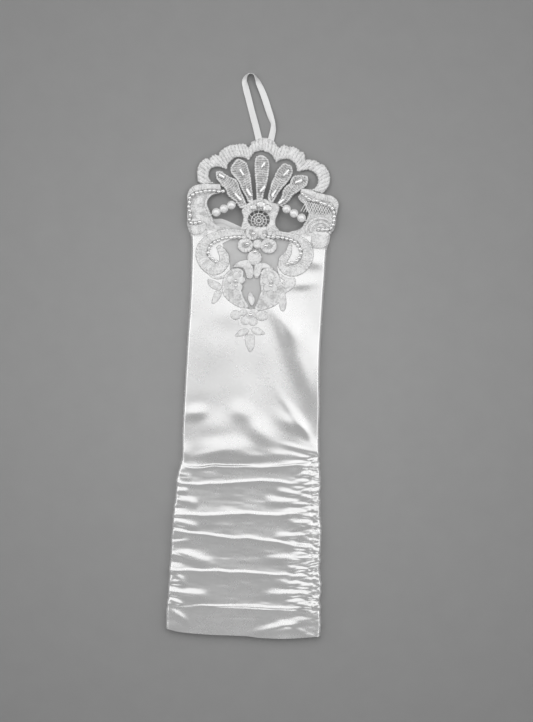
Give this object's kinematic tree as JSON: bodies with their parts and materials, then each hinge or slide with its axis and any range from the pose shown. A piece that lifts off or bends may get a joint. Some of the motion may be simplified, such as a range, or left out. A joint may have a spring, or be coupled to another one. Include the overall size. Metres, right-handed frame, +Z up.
{
  "type": "fingerless bridal glove",
  "caption": "Long fingerless satin glove with a gathered forearm, beaded scalloped lace crown over the back of the hand and a ribbon finger loop, lying flat.",
  "frame": {"origin": "middle of the glove's footprint, on the surface that its palm side lies on", "axes": "+Y along the glove from the hem to the finger loop, +X to the right seen from above, +Z up out of the back of the hand"},
  "size_m": [0.1016, 0.3675, 0.0114],
  "materials": {
    "satin": "bright white duchess satin, strong soft sheen",
    "satin_back": "white satin, palm side and turned-in edges",
    "organza": "sheer fine mesh",
    "lace": "corded white rayon embroidery",
    "pearl": "pearl coating",
    "crystal": "clear faceted and bugle beads",
    "thread": "white beading thread",
    "elastic": "narrow white elastic tape",
    "ribbon": "narrow double-face satin ribbon"
  },
  "bodies": {
    "forearm": {"forearm_front_panel": "satin", "forearm_palm_panel": "satin_back", "hem_band_front": "satin", "hem_band_palm": "satin_back", "side_seam_left_forearm": "satin_back", "side_seam_right_forearm": "satin_back", "gathering_elastic": "elastic"},
    "hand": {"hand_front_panel": "satin", "organza_inset": "organza", "hand_palm_panel": "satin_back", "palm_top_hem": "satin_back", "side_seam_left_hand": "satin_back", "side_seam_right_hand": "satin_back", "scroll_left": "lace", "scroll_right": "lace", "centre_flower": "lace", "leaf_pair": "lace", "side_flower_left": "lace", "side_flower_right": "lace", "lower_lace_left": "lace", "lower_lace_right": "lace", "centre_leaf": "lace", "pendant_flower": "lace", "lower_spray": "lace", "scroll_beads_left": "pearl", "scroll_beads_right": "pearl", "centre_flower_beads": "pearl", "side_beads_left": "pearl", "side_beads_right": "pearl", "pendant_bead": "pearl"},
    "crown": {"corner_tab_left": "satin", "corner_tab_right": "satin", "corner_lace_left": "lace", "corner_lace_right": "lace", "corner_beads_left": "pearl", "corner_beads_right": "pearl", "fan_base": "lace", "crystal_1": "crystal", "crystal_2": "crystal", "crystal_3": "crystal", "scallop_border": "lace", "fan_petal_1": "lace", "fan_petal_2": "lace", "fan_petal_3": "lace", "fan_petal_4": "lace", "fan_petal_5": "lace", "bugle_beads_1": "crystal", "bugle_beads_2": "crystal", "bugle_beads_3": "crystal", "bugle_beads_4": "crystal", "bugle_beads_5": "crystal", "pearl_thread_left": "thread", "pearl_thread_right": "thread"},
    "loop": {"finger_loop": "ribbon"},
    "pearl_left_1": {"pearl_left_1": "pearl"},
    "pearl_left_2": {"pearl_left_2": "pearl"},
    "pearl_left_3": {"pearl_left_3": "pearl"},
    "pearl_right_1": {"pearl_right_1": "pearl"},
    "pearl_right_2": {"pearl_right_2": "pearl"},
    "pearl_right_3": {"pearl_right_3": "pearl"}
  },
  "joints": [
    {"name": "wrist_flex", "type": "hinge", "parent": "forearm", "child": "hand", "pos_m": [0, -0.01, 0.0035], "axis": [1, 0, 0], "range_deg": [-60, 60]},
    {"name": "crown_flex", "type": "hinge", "parent": "hand", "child": "crown", "pos_m": [0, 0.07975, 0.0066], "axis": [1, 0, 0], "range_deg": [-75, 60]},
    {"name": "loop_swing", "type": "hinge", "parent": "crown", "child": "loop", "pos_m": [-0.0024, 0.142, 0.0008], "axis": [1, 0, 0], "range_deg": [-120, 150]},
    {"name": "pearl_left_1_spin", "type": "hinge", "parent": "crown", "child": "pearl_left_1", "pos_m": [-0.03104, 0.09038, 0.00676], "axis": [0.878, 0.4764, -0.0467], "continuous": true},
    {"name": "pearl_left_2_spin", "type": "hinge", "parent": "crown", "child": "pearl_left_2", "pos_m": [-0.0263, 0.09295, 0.00651], "axis": [0.878, 0.4764, -0.0467], "continuous": true},
    {"name": "pearl_left_3_spin", "type": "hinge", "parent": "crown", "child": "pearl_left_3", "pos_m": [-0.02156, 0.09553, 0.00626], "axis": [0.878, 0.4764, -0.0467], "continuous": true},
    {"name": "pearl_right_1_spin", "type": "hinge", "parent": "crown", "child": "pearl_right_1", "pos_m": [0.01437, 0.0949, 0.00632], "axis": [0.8805, -0.4718, 0.0463], "continuous": true},
    {"name": "pearl_right_2_spin", "type": "hinge", "parent": "crown", "child": "pearl_right_2", "pos_m": [0.0193, 0.09226, 0.00658], "axis": [0.8805, -0.4718, 0.0463], "continuous": true},
    {"name": "pearl_right_3_spin", "type": "hinge", "parent": "crown", "child": "pearl_right_3", "pos_m": [0.02423, 0.08962, 0.00684], "axis": [0.8805, -0.4718, 0.0463], "continuous": true}
  ]
}
